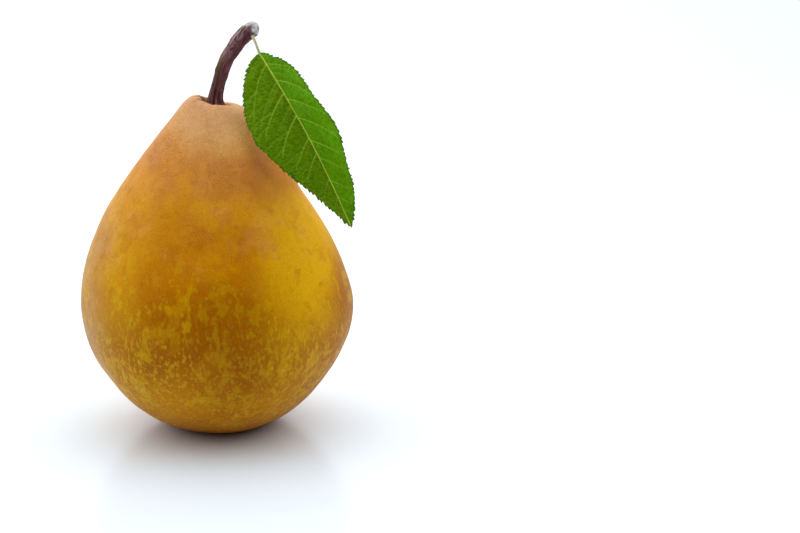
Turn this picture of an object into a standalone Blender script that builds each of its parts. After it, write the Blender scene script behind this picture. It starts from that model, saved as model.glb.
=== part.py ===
"""A pear standing on its blossom end, with its stem, one hanging leaf and the dried calyx below.

Metres, +Z up. The origin is the centre of the small flat ring that the fruit rests on, and the
fruit's axis is +Z. -Y is the front and +X the right: the stem curves to the right, and the leaf
hangs from its end, over the front right of the fruit.
"""

import math

import bpy
import numpy as np
from mathutils import Matrix, Vector

MM = 0.001
TOUCH_GAP = 0.3 * MM  # between pieces that touch

# Fruit
DIAMETER = 79.4 * MM  # at the widest height
HEIGHT = 95.2 * MM  # to the lip round the stem
WIDEST_HEIGHT = 36.4 * MM
REST_RADIUS = 12.0 * MM  # outside of the flat ring that it rests on
BASIN_RADIUS = 8.5 * MM  # mouth of the hollow that holds the calyx
BASIN_DEPTH = 5.0 * MM
SHOULDER_DROP = 2.1 * MM  # how far below the lip the shoulder begins
SHOULDER_WIDTH = 5.0 * MM  # how far outside the lip it begins
LIP_WIDTH = 1.9 * MM  # from the stem's foot out to the crest of the lip
PIT_DEPTH = 1.3 * MM  # of the hollow that the stem grows from
# Fleshy knobs beside the stem: (height, direction in degrees from +X, reach)
BUMPS = ((2.5 * MM, 165.0, 8.5 * MM), (0.8 * MM, 270.0, 2.6 * MM))
BELLY_SWAY = 2.0 * MM  # how far the upper body leans to the left
TOP_SHIFT = 0.9 * MM  # how far the lip and the stem's foot stand to the right
FRUIT_SIDES = 48
# Unevenness: (waves round the fruit, share of the radius, turn in degrees)
UNEVEN = ((2, 0.006, 40.0), (3, 0.004, 205.0))
LOBES = 5  # of the blossom end
LOBE_SHARE = 0.010
LOBE_HEIGHT = 22.0 * MM  # where they fade out

# Stem
STEM_RADIUS = 1.9 * MM  # at its slimmest
STEM_RISE = 22.8 * MM  # from its foot to its end
STEM_REACH = 12.8 * MM  # sideways, to the right
STEM_FORWARD = 0.6 * MM
# Along the stem: (share of the reach, share of the rise, radius in slimmest radii)
STEM_LINE = (
    (0.00, 0.00, 1.40),
    (0.00, 0.06, 1.28),
    (0.05, 0.23, 1.04),
    (0.17, 0.45, 1.00),
    (0.29, 0.62, 1.02),
    (0.46, 0.76, 1.12),
    (0.64, 0.89, 1.19),
    (0.81, 0.97, 1.20),
    (0.96, 1.00, 1.10),
    (1.02, 1.00, 0.62),
)
STEM_STRETCH_STEPS = 4
STALK_FROM = 7  # the point of STEM_LINE that the leaf's stalk leaves from

# Leaf
LEAF_LENGTH = 55.5 * MM
LEAF_LEFT_WIDTH = 13.5 * MM  # from the midrib to the left edge
LEAF_RIGHT_WIDTH = 10.9 * MM
LEAF_THICKNESS = 0.35 * MM
LEAF_BASE_WIDTH = 1.3 * MM
LEAF_TIP_WIDTH = 0.5 * MM
# How each half's outline runs: (where it is widest, roundness of its base, fullness of its tip)
LEAF_LEFT_OUTLINE = (0.39, 0.60, 1.25)
LEAF_RIGHT_OUTLINE = (0.48, 0.60, 2.00)
LEAF_HEADING = (0.465, -0.200, -0.860)  # base to tip
LEAF_FACING = (-0.02, -0.97, 0.22)  # the way its upper face looks
LEAF_FOLDS = (6.0, 44.0)  # how far the left and right halves fold up, in degrees
LEAF_SAG = 1.4 * MM  # how far the middle of the midrib bows to the right
LEAF_DROOP = 3.6 * MM  # how far the midrib bows forward
LEAF_CLEARANCE = 0.9 * MM  # to the fruit
LEAF_ROWS, LEAF_COLUMNS = 26, 10
STALK_RADIUS = 0.45 * MM
STALK_DROP = 3.9 * MM
STALK_RUN = 1.6 * MM
STALK_FORWARD = 1.2 * MM

# Calyx
EYE_RADIUS = 2.3 * MM
EYE_HEIGHT = 1.1 * MM
SEPALS = 5
SEPAL_LENGTH = 3.4 * MM
SEPAL_WIDTH = 2.2 * MM
SEPAL_THICKNESS = 0.4 * MM
SEPAL_SLOPE = 40.0  # below level, in degrees
SEPAL_CURL = 0.5 * MM


def bezier(corners, count):
    """Points on the Bezier curve of four (radius, height) corners, without the last one."""
    found = []
    for step in range(count):
        t = step / count
        weights = ((1 - t) ** 3, 3 * t * (1 - t) ** 2, 3 * t * t * (1 - t), t**3)
        found.append(tuple(sum(w * c[k] for w, c in zip(weights, corners)) for k in (0, 1)))
    return found


STEM_FOOT_RADIUS = STEM_RADIUS * STEM_LINE[0][2]
LIP_RADIUS = STEM_FOOT_RADIUS + LIP_WIDTH
PIT_RADIUS = STEM_FOOT_RADIUS + TOUCH_GAP
SHOULDER_RADIUS = LIP_RADIUS + SHOULDER_WIDTH
SHOULDER_HEIGHT = HEIGHT - SHOULDER_DROP
PIT_HEIGHT = HEIGHT - PIT_DEPTH


def fruit_profile():
    """(radius, height) points from the middle of the stem's pit, down the outside, to the basin."""
    wide, neck = DIAMETER / 2, SHOULDER_HEIGHT - WIDEST_HEIGHT
    inward = wide - SHOULDER_RADIUS
    pit = [(0.0, PIT_HEIGHT)] + bezier(
        (
            (PIT_RADIUS, PIT_HEIGHT),
            (PIT_RADIUS + 0.25 * LIP_WIDTH, PIT_HEIGHT),
            (LIP_RADIUS - 0.40 * LIP_WIDTH, HEIGHT),
            (LIP_RADIUS, HEIGHT),
        ),
        4,
    )
    lip = bezier(
        (
            (LIP_RADIUS, HEIGHT),
            (LIP_RADIUS + 0.45 * SHOULDER_WIDTH, HEIGHT),
            (SHOULDER_RADIUS - 0.25 * SHOULDER_WIDTH, SHOULDER_HEIGHT + 0.48 * SHOULDER_DROP),
            (SHOULDER_RADIUS, SHOULDER_HEIGHT),
        ),
        4,
    )
    upper = bezier(
        (
            (SHOULDER_RADIUS, SHOULDER_HEIGHT),
            (SHOULDER_RADIUS + 0.307 * inward, SHOULDER_HEIGHT - 0.197 * neck),
            (wide, WIDEST_HEIGHT + 0.313 * neck),
            (wide, WIDEST_HEIGHT),
        ),
        12,
    )
    belly = bezier(
        (
            (wide, WIDEST_HEIGHT),
            (wide, 0.547 * WIDEST_HEIGHT),
            (REST_RADIUS + 0.433 * (wide - REST_RADIUS), 0.059 * WIDEST_HEIGHT),
            (REST_RADIUS, 0.0),
        ),
        11,
    )
    basin = bezier(
        (
            (BASIN_RADIUS, 0.0),
            (0.72 * BASIN_RADIUS, 0.05 * BASIN_DEPTH),
            (0.66 * BASIN_RADIUS, BASIN_DEPTH),
            (0.30 * BASIN_RADIUS, BASIN_DEPTH),
        ),
        5,
    )
    middle = [(0.30 * BASIN_RADIUS, BASIN_DEPTH), (0.0, BASIN_DEPTH)]
    return pit + lip + upper + belly + [(REST_RADIUS, 0.0)] + basin + middle


def fade(value, start, end):
    """0 at start, 1 at end, smooth between."""
    t = min(1.0, max(0.0, (value - start) / (end - start)))
    return t * t * (3 - 2 * t)


def swell(angle, height):
    """How many times wider than round the fruit is, in that direction at that height."""
    share = sum(a * math.cos(n * angle + math.radians(turn)) for n, a, turn in UNEVEN)
    lobes = LOBE_SHARE * math.cos(LOBES * angle) * fade(height, LOBE_HEIGHT, 0.0)
    return 1 + share + lobes


def sway(height):
    """How far the fruit's middle stands to the right of the axis at that height."""
    share = min(1.0, max(0.0, (height - WIDEST_HEIGHT) / (HEIGHT - WIDEST_HEIGHT)))
    return TOP_SHIFT * share**2 - BELLY_SWAY * math.sin(math.pi * share**1.37)


def grown(point):
    """Where an evenly turned point lies on the uneven, grown fruit."""
    angle, radius = math.atan2(point.y, point.x), math.hypot(point.x, point.y)
    wider = 1 + (swell(angle, point.z) - 1) * fade(radius, PIT_RADIUS, SHOULDER_RADIUS)
    crest = LIP_RADIUS + 0.2 * SHOULDER_WIDTH
    bump = 0.0
    for height, direction, reach in BUMPS:
        toward = max(0.0, math.cos(angle - math.radians(direction))) ** 2
        bump += height * toward * math.exp(-(((radius - crest) / reach) ** 2))
    bump *= fade(point.z, WIDEST_HEIGHT, SHOULDER_HEIGHT) * fade(radius, PIT_RADIUS, LIP_RADIUS)
    return Vector((point.x * wider + sway(point.z), point.y * wider, point.z + bump))


def clear_of_fruit(point, profile):
    """The point, moved straight out from the axis where it would be within the leaf's clearance."""
    outside = [p for p in profile if p[0] >= LIP_RADIUS and p[1] > WIDEST_HEIGHT]
    heights = [p[1] for p in reversed(outside)]
    radii = [p[0] for p in reversed(outside)]
    side = point.x - sway(point.z)
    angle, radius = math.atan2(point.y, side), math.hypot(side, point.y)
    limit = np.interp(point.z, heights, radii, right=0.0) * swell(angle, point.z) + LEAF_CLEARANCE
    softness = 0.6 * MM
    spare = (radius - limit) / softness
    if spare > 6:
        return point
    moved = limit + softness * math.log1p(math.exp(spare))
    out = Vector((side, point.y, 0.0)).normalized()
    return Vector((sway(point.z) + out.x * moved, out.y * moved, point.z))


def material(name, colour, roughness):
    made = bpy.data.materials.new(name)
    made.use_nodes = True
    shader = made.node_tree.nodes["Principled BSDF"]
    shader.inputs["Base Color"].default_value = (*colour, 1.0)
    shader.inputs["Roughness"].default_value = roughness
    shader.inputs["Metallic"].default_value = 0.0
    return made


def add_object(name, data, look, parent, place=(0, 0, 0)):
    """A new object in the pear's collection, held by its parent empty."""
    obj = bpy.data.objects.new(name, data)
    bpy.data.collections["pear"].objects.link(obj)
    obj.parent = parent
    obj.location = place
    data.materials.append(look)
    return obj


def shade_smooth(mesh, angle=40.0):
    mesh.shade_smooth()
    mesh.set_sharp_from_angle(angle=math.radians(angle))


def build_fruit(look, parent, profile):
    """The outline turned round the axis, then pushed to its uneven shape."""
    outline = bpy.data.meshes.new("fruit_outline")
    lines = [(i, i + 1) for i in range(len(profile) - 1)]
    outline.from_pydata([(r, 0.0, z) for r, z in profile], lines, [])
    fruit = add_object("fruit", outline, look, parent)
    screw = fruit.modifiers.new("turn", "SCREW")
    screw.axis = "Z"
    screw.steps = screw.render_steps = FRUIT_SIDES
    screw.use_merge_vertices = True
    screw.merge_threshold = 0.01 * MM
    bpy.context.view_layer.update()
    turned = bpy.data.meshes.new_from_object(
        fruit.evaluated_get(bpy.context.evaluated_depsgraph_get())
    )
    fruit.modifiers.clear()
    fruit.data = turned
    turned.name = "fruit"
    for vertex in turned.vertices:
        vertex.co = grown(vertex.co)
    shade_smooth(turned)
    return fruit


def tube(name, places, radii, thickness, sides, smoothness):
    """A curve through the places, with a round section of thickness times each radius."""
    curve = bpy.data.curves.new(name, "CURVE")
    curve.dimensions = "3D"
    curve.bevel_depth = thickness
    curve.bevel_resolution = (sides - 4) // 2
    curve.resolution_u = smoothness
    curve.use_fill_caps = True
    spline = curve.splines.new("BEZIER")
    spline.bezier_points.add(len(places) - 1)
    for point, place, radius in zip(spline.bezier_points, places, radii):
        point.co = place
        point.radius = radius
        point.handle_left_type = point.handle_right_type = "AUTO"
    return curve


def stem_places():
    """The stem's centreline from its foot, which is the origin of its own frame."""
    return [
        Vector((across * STEM_REACH, -across * STEM_FORWARD, up * STEM_RISE))
        for across, up, _ in STEM_LINE
    ]


def build_stem(look, parent, foot):
    radii = [line[2] for line in STEM_LINE]
    curve = tube("stem", stem_places(), radii, STEM_RADIUS, 12, STEM_STRETCH_STEPS)
    return add_object("stem", curve, look, parent, foot)


def stalk_ends(foot):
    """Where the leaf's stalk leaves the stem's underside, and where the blade begins."""
    line = stem_places()
    at = line[STALK_FROM]
    along = (line[STALK_FROM + 1] - line[STALK_FROM - 1]).normalized()
    below = Vector((along.z, -0.9, -along.x)).normalized()
    off = STEM_RADIUS * STEM_LINE[STALK_FROM][2] + TOUCH_GAP + 0.2 * STALK_RADIUS
    start = foot + at + below * off
    end = start + Vector((STALK_RUN, -STALK_FORWARD, -STALK_DROP))
    return start, end


def build_leaf_stalk(look, parent, start, end):
    middle = (start + end) / 2 + Vector((0.1 * STALK_DROP, 0.0, 0.05 * STALK_DROP))
    places = [Vector(), middle - start, end - start]
    curve = tube("leaf_stalk", places, (1.0, 0.85, 0.9), STALK_RADIUS, 8, 4)
    return add_object("leaf_stalk", curve, look, parent, start)


def half_width(along, right):
    """The blade's width on one side of the midrib, at a share along it."""
    full = LEAF_RIGHT_WIDTH if right else LEAF_LEFT_WIDTH
    peak, roundness, fullness = LEAF_RIGHT_OUTLINE if right else LEAF_LEFT_OUTLINE
    least = LEAF_BASE_WIDTH / 2 * (1 - along) + LEAF_TIP_WIDTH / 2 * along
    if along < peak:
        return least + full * math.sin(math.pi / 2 * along / peak) ** roundness
    return least + full * (1 - ((along - peak) / (1 - peak)) ** fullness)


def blade_point(along, across):
    """A point of the blade in its own frame: +X base to tip, +Y its right half, +Z its face."""
    right = across > 0
    fold = math.radians(LEAF_FOLDS[1] if right else LEAF_FOLDS[0])
    fold *= (0.7 + 0.3 * fade(along, 0.0, 0.25)) * (1 - 0.3 * fade(along, 0.55, 1.0))
    reach = abs(across) * half_width(along, right)
    bow = math.sin(math.pi * along)
    side = reach * math.cos(fold) * (1 if right else -1) + LEAF_SAG * bow
    return Vector((LEAF_LENGTH * along, side, reach * math.sin(fold) + LEAF_DROOP * bow))


def build_leaf_blade(look, parent, base, profile):
    """A thin curved sheet, folded along its midrib and kept clear of the fruit."""
    heading = Vector(LEAF_HEADING).normalized()
    across = Vector(LEAF_FACING).cross(heading).normalized()
    turn = Matrix((heading, across, heading.cross(across))).transposed()
    bpy.ops.mesh.primitive_grid_add(x_subdivisions=LEAF_ROWS, y_subdivisions=LEAF_COLUMNS, size=2)
    blade = bpy.context.object
    mesh = blade.data
    bpy.data.objects.remove(blade)
    mesh.name = "leaf_blade"
    start = base + heading * (TOUCH_GAP + 0.35 * STALK_RADIUS)
    for vertex in mesh.vertices:
        place = start + turn @ blade_point((vertex.co.x + 1) / 2, vertex.co.y)
        vertex.co = turn.transposed() @ (clear_of_fruit(place, profile) - start)
    leaf = add_object("leaf_blade", mesh, look, parent, start)
    leaf.rotation_euler = turn.to_euler()
    sheet = leaf.modifiers.new("thickness", "SOLIDIFY")
    sheet.thickness = LEAF_THICKNESS
    sheet.offset = 0.0
    shade_smooth(mesh)
    return leaf


def build_calyx(look, parent):
    """The dried eye in the middle of the basin, and the sepals spread round it."""
    eye_top = BASIN_DEPTH - TOUCH_GAP
    bpy.ops.mesh.primitive_cone_add(
        vertices=20, radius1=EYE_RADIUS, radius2=0.85 * EYE_RADIUS, depth=EYE_HEIGHT
    )
    shaped = bpy.context.object
    mesh = shaped.data
    bpy.data.objects.remove(shaped)
    shade_smooth(mesh)
    add_object("calyx_eye", mesh, look, parent, (0, 0, eye_top - EYE_HEIGHT / 2))

    bpy.ops.mesh.primitive_grid_add(x_subdivisions=6, y_subdivisions=4, size=2)
    shaped = bpy.context.object
    sepal_mesh = shaped.data
    bpy.data.objects.remove(shaped)
    sepal_mesh.name = "sepal"
    for vertex in sepal_mesh.vertices:
        along, side = (vertex.co.x + 1) / 2, vertex.co.y
        width = SEPAL_WIDTH / 2 * (1 - 0.8 * along**2)
        curl = SEPAL_CURL * (along**2 + 0.5 * side**2)
        vertex.co = Vector((SEPAL_LENGTH * along, side * width, -curl))
    shade_smooth(sepal_mesh)
    sepal_mesh.materials.append(look)
    root = EYE_RADIUS + TOUCH_GAP + 0.1 * MM
    level = eye_top - EYE_HEIGHT / 2 - SEPAL_THICKNESS
    for number in range(SEPALS):
        turn = 2 * math.pi * number / SEPALS
        sepal = bpy.data.objects.new(f"sepal_{number + 1}", sepal_mesh)
        bpy.data.collections["pear"].objects.link(sepal)
        sepal.parent = parent
        sepal.location = (root * math.cos(turn), root * math.sin(turn), level)
        sepal.rotation_euler = (0.0, math.radians(SEPAL_SLOPE), turn)
        sheet = sepal.modifiers.new("thickness", "SOLIDIFY")
        sheet.thickness = SEPAL_THICKNESS
        sheet.offset = 0.0


def main():
    for obj in list(bpy.data.objects):
        bpy.data.objects.remove(obj)
    collection = bpy.data.collections.new("pear")
    bpy.context.scene.collection.children.link(collection)
    holder = bpy.data.objects.new("pear_origin", None)
    collection.objects.link(holder)

    skin = material("skin", (0.50, 0.22, 0.03), 0.45)
    bark = material("stem_bark", (0.06, 0.02, 0.02), 0.6)
    stalk = material("leaf_stalk", (0.55, 0.60, 0.30), 0.5)
    green = material("leaf_green", (0.06, 0.20, 0.01), 0.4)
    dry = material("dried_calyx", (0.05, 0.03, 0.02), 0.85)

    profile = fruit_profile()
    build_fruit(skin, holder, profile)
    foot = Vector((sway(PIT_HEIGHT), 0.0, PIT_HEIGHT + TOUCH_GAP))
    build_stem(bark, holder, foot)
    start, end = stalk_ends(foot)
    build_leaf_stalk(stalk, holder, start, end)
    build_leaf_blade(green, holder, end, profile)
    build_calyx(dry, holder)


main()
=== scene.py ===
"""The looks of the pear: skin, stem, leaf and dried calyx, on a plain pale floor.

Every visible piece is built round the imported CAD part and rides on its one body. The fruit's skin is
built in metres from the CAD surface. The stem, leaf and calyx are built in mm, with the CAD part's
measures, and scaled at the end. The fruit's axis is Z and -Y is the front.
"""

import itertools
import math

import bpy
import bmesh
import numpy as np
from mathutils import Matrix, Vector
from mathutils.bvhtree import BVHTree


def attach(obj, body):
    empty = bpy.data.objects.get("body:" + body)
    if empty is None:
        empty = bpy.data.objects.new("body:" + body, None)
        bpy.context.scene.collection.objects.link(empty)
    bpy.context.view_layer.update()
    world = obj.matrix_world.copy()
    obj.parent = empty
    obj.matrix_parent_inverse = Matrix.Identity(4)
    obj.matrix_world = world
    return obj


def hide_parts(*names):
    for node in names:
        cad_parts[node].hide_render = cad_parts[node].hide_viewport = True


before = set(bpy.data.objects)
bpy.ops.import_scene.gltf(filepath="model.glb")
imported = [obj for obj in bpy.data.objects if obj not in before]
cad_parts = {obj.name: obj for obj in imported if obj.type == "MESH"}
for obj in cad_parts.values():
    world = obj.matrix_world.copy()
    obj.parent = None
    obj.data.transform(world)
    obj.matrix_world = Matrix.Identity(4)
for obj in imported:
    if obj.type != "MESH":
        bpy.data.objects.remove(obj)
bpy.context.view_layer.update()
MM = 0.001


# -------------------------------- numbers


def fade(x, start, end):
    """0 at start, 1 at end, smooth between. Works on arrays, in either direction."""
    t = np.clip((np.asarray(x, float) - start) / (end - start), 0.0, 1.0)
    return t * t * (3 - 2 * t)


def lattice_hash(i, j, k, seed):
    """A repeatable 32-bit number for each lattice point."""
    h = i * 374761393 + j * 668265263 + k * 2147483647 + seed * 1274126177
    h = (h ^ (h >> 13)) * 1274126177 & 0xFFFFFFFF
    h = (h ^ (h >> 16)) * 2246822519 & 0xFFFFFFFF
    return h ^ (h >> 15)


def noise(points, scale, seed=0, octaves=1, roughness=0.5):
    """Smooth gradient noise from about -1 to 1 at points of shape (..., 3)."""
    points = np.asarray(points, float)
    total, weight, norm = 0.0, 1.0, 0.0
    for octave in range(octaves):
        p = points * scale * 2**octave + 17.3 * octave
        cell = np.floor(p).astype(np.int64)
        f = p - cell
        u = f * f * f * (f * (f * 6 - 15) + 10)
        value = 0.0
        for offset in itertools.product((0, 1), repeat=3):
            corner = cell + offset
            h = lattice_hash(corner[..., 0], corner[..., 1], corner[..., 2], seed + octave)
            a = (h & 0xFFFF) / 65536.0 * 2 * np.pi
            c = ((h >> 16) & 0xFFFF) / 32768.0 - 1.0
            s = np.sqrt(np.maximum(0.0, 1 - c * c))
            d = f - offset
            dot = d[..., 0] * s * np.cos(a) + d[..., 1] * s * np.sin(a) + d[..., 2] * c
            value = value + dot * np.where(offset, u, 1 - u).prod(-1)
        total = total + value * weight
        norm += weight
        weight *= roughness
    return total * 1.6 / norm


def hump(x):
    """1 at 0, falling smoothly to 0 on both sides."""
    return np.exp(-(x**2))


def angle_from(angle, start):
    """The shortest turn from start to each angle."""
    return np.angle(np.exp(1j * (angle - start)))


def unit(v):
    return v / np.maximum(np.linalg.norm(v, axis=-1, keepdims=True), 1e-12)


# -------------------------------- meshes


def new_object(name, verts, faces, material):
    mesh = bpy.data.meshes.new(name)
    mesh.from_pydata([tuple(v) for v in verts], [], faces)
    mesh.materials.append(material)
    mesh.shade_smooth()
    obj = bpy.data.objects.new(name, mesh)
    bpy.context.scene.collection.objects.link(obj)
    return obj


def add_attribute(obj, name, values):
    """Gives each vertex its number or, from rows of three, its vector."""
    kind, field = ("FLOAT_VECTOR", "vector") if np.ndim(values) == 2 else ("FLOAT", "value")
    attribute = obj.data.attributes.new(name, kind, "POINT")
    attribute.data.foreach_set(field, np.asarray(values, np.float32).ravel())


def with_ends(grid):
    """The grid's points in one list, then the middles of its first and last rows."""
    return np.vstack([grid.reshape(-1, 3), grid[0].mean(0), grid[-1].mean(0)])


def close_tube(grid):
    """Vertices and faces of a tube of closed rows, with a fan of triangles over each end.

    The faces look out where the rows run downwards and the columns anticlockwise.
    """
    rows, columns = grid.shape[:2]
    faces = []
    for i in range(rows - 1):
        a, b = i * columns, (i + 1) * columns
        for j in range(columns):
            k = (j + 1) % columns
            faces.append((a + j, b + j, b + k, a + k))
    first_end, last = rows * columns, (rows - 1) * columns
    faces += [(first_end, j, (j + 1) % columns) for j in range(columns)]
    faces += [(first_end + 1, last + (j + 1) % columns, last + j) for j in range(columns)]
    return with_ends(grid), faces


def close_sheet(upper, lower):
    """Vertices and faces of a sheet between two grids of the same size, closed round its edge."""
    rows, columns = upper.shape[:2]
    count = rows * columns
    faces = []
    for i in range(rows - 1):
        for j in range(columns - 1):
            a = i * columns + j
            b, c, d = a + 1, a + columns + 1, a + columns
            faces.append((a, d, c, b))
            faces.append((a + count, b + count, c + count, d + count))
    loop = list(range(columns))
    loop += [i * columns + columns - 1 for i in range(1, rows)]
    loop += [(rows - 1) * columns + j for j in range(columns - 2, -1, -1)]
    loop += [i * columns for i in range(rows - 2, 0, -1)]
    for a, b in zip(loop, loop[1:] + loop[:1]):
        faces.append((a, b, b + count, a + count))
    return np.vstack([upper.reshape(-1, 3), lower.reshape(-1, 3)]), faces


def tube_normals(grid):
    """Outward normals of a tube's grid (rows run downwards, columns anticlockwise)."""
    down = np.gradient(grid, axis=0)
    around = np.roll(grid, -1, 1) - np.roll(grid, 1, 1)
    return unit(np.cross(down, around))


def sheet_normals(grid):
    return unit(np.cross(np.gradient(grid, axis=0), np.gradient(grid, axis=1)))


def settle(piece, slot, *nodes):
    """The piece rides on the fruit's body and stands for its CAD nodes, which it hides; the slot is not
    used.
    """
    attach(piece, "root")
    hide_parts(*nodes)


# -------------------------------- materials


def colour(r, g, b):
    """A linear colour from display values of 0 to 255."""

    def linear(c):
        c /= 255
        return c / 12.92 if c <= 0.04045 else ((c + 0.055) / 1.055) ** 2.4

    return (linear(r), linear(g), linear(b), 1.0)


class Nodes:
    """Short names for the nodes of one tree. Values are numbers or other nodes' outputs."""

    def __init__(self, tree):
        self.tree = tree

    def feed(self, socket, value):
        if isinstance(value, bpy.types.NodeSocket):
            self.tree.links.new(value, socket)
        elif value is not None:
            socket.default_value = value

    def math(self, operation, a, b=None, clamp=False):
        node = self.tree.nodes.new("ShaderNodeMath")
        node.operation = operation
        node.use_clamp = clamp
        for socket, value in zip(node.inputs, (a, b)):
            self.feed(socket, value)
        return node.outputs[0]

    def add(self, a, b):
        return self.math("ADD", a, b)

    def times(self, a, b):
        return self.math("MULTIPLY", a, b)

    def split(self, vector):
        node = self.tree.nodes.new("ShaderNodeSeparateXYZ")
        self.feed(node.inputs[0], vector)
        return node.outputs

    def band(self, value, low, high, out_low=0.0, out_high=1.0):
        """Smooth step of the value from low to high."""
        node = self.tree.nodes.new("ShaderNodeMapRange")
        node.interpolation_type = "SMOOTHSTEP"
        self.feed(node.inputs["Value"], value)
        limits = {"From Min": low, "From Max": high, "To Min": out_low, "To Max": out_high}
        for name, number in limits.items():
            node.inputs[name].default_value = number
        return node.outputs["Result"]


class Paint(Nodes):
    """Builds a Principled material from procedural nodes."""

    def __init__(self, name, roughness=0.5):
        self.material = bpy.data.materials.new(name)
        self.material.use_nodes = True
        super().__init__(self.material.node_tree)
        self.shader = self.tree.nodes["Principled BSDF"]
        self.set("Roughness", roughness)
        self.set("IOR", 1.45)
        self.place = self.tree.nodes.new("ShaderNodeTexCoord").outputs["Object"]

    def set(self, socket, value):
        self.feed(self.shader.inputs[socket], value)

    def attribute(self, name, output="Fac"):
        node = self.tree.nodes.new("ShaderNodeAttribute")
        node.attribute_name = name
        return node.outputs[output]

    def stretch(self, vector, scale):
        node = self.tree.nodes.new("ShaderNodeVectorMath")
        node.operation = "MULTIPLY"
        self.feed(node.inputs[0], vector)
        node.inputs[1].default_value = scale
        return node.outputs[0]

    def warp(self, vector, scale, amount):
        """The vector, pushed about by soft noise."""
        cloud = self.tree.nodes.new("ShaderNodeTexNoise")
        self.feed(cloud.inputs["Vector"], vector)
        cloud.inputs["Scale"].default_value = scale
        cloud.inputs["Detail"].default_value = 2.0
        shift = self.tree.nodes.new("ShaderNodeVectorMath")
        shift.operation = "MULTIPLY_ADD"
        self.feed(shift.inputs[0], cloud.outputs["Color"])
        shift.inputs[1].default_value = (amount,) * 3
        self.feed(shift.inputs[2], vector)
        return shift.outputs[0]

    def noise(self, scale, detail=2.0, roughness=0.5, vector=None):
        node = self.tree.nodes.new("ShaderNodeTexNoise")
        self.feed(node.inputs["Vector"], self.place if vector is None else vector)
        node.inputs["Scale"].default_value = scale
        node.inputs["Detail"].default_value = detail
        node.inputs["Roughness"].default_value = roughness
        return node.outputs["Fac"]

    def cells(self, scale, vector=None, feature="F1"):
        node = self.tree.nodes.new("ShaderNodeTexVoronoi")
        node.feature = feature
        self.feed(node.inputs["Vector"], self.place if vector is None else vector)
        node.inputs["Scale"].default_value = scale
        return node.outputs["Distance"]

    def window(self, value, start, full, end, gone, peak=1.0):
        """The peak between full and end, 0 before start and after gone."""
        return self.times(self.band(value, start, full, 0.0, peak), self.band(value, gone, end))

    def mix(self, factor, a, b, blend="MIX"):
        node = self.tree.nodes.new("ShaderNodeMix")
        node.data_type = "RGBA"
        node.blend_type = blend
        self.feed(node.inputs["Factor"], factor)
        self.feed(node.inputs[6], a)
        self.feed(node.inputs[7], b)
        return node.outputs[2]

    def ramp(self, factor, stops):
        node = self.tree.nodes.new("ShaderNodeValToRGB")
        self.feed(node.inputs["Fac"], factor)
        points = node.color_ramp.elements
        while len(points) < len(stops):
            points.new(0.5)
        for point, (position, value) in zip(points, stops):
            point.position = position
            point.color = value
        return node.outputs["Color"]

    def bump(self, height, distance, strength=1.0, normal=None):
        node = self.tree.nodes.new("ShaderNodeBump")
        node.inputs["Strength"].default_value = strength
        node.inputs["Distance"].default_value = distance
        self.feed(node.inputs["Height"], height)
        self.feed(node.inputs["Normal"], normal)
        return node.outputs["Normal"]


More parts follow.
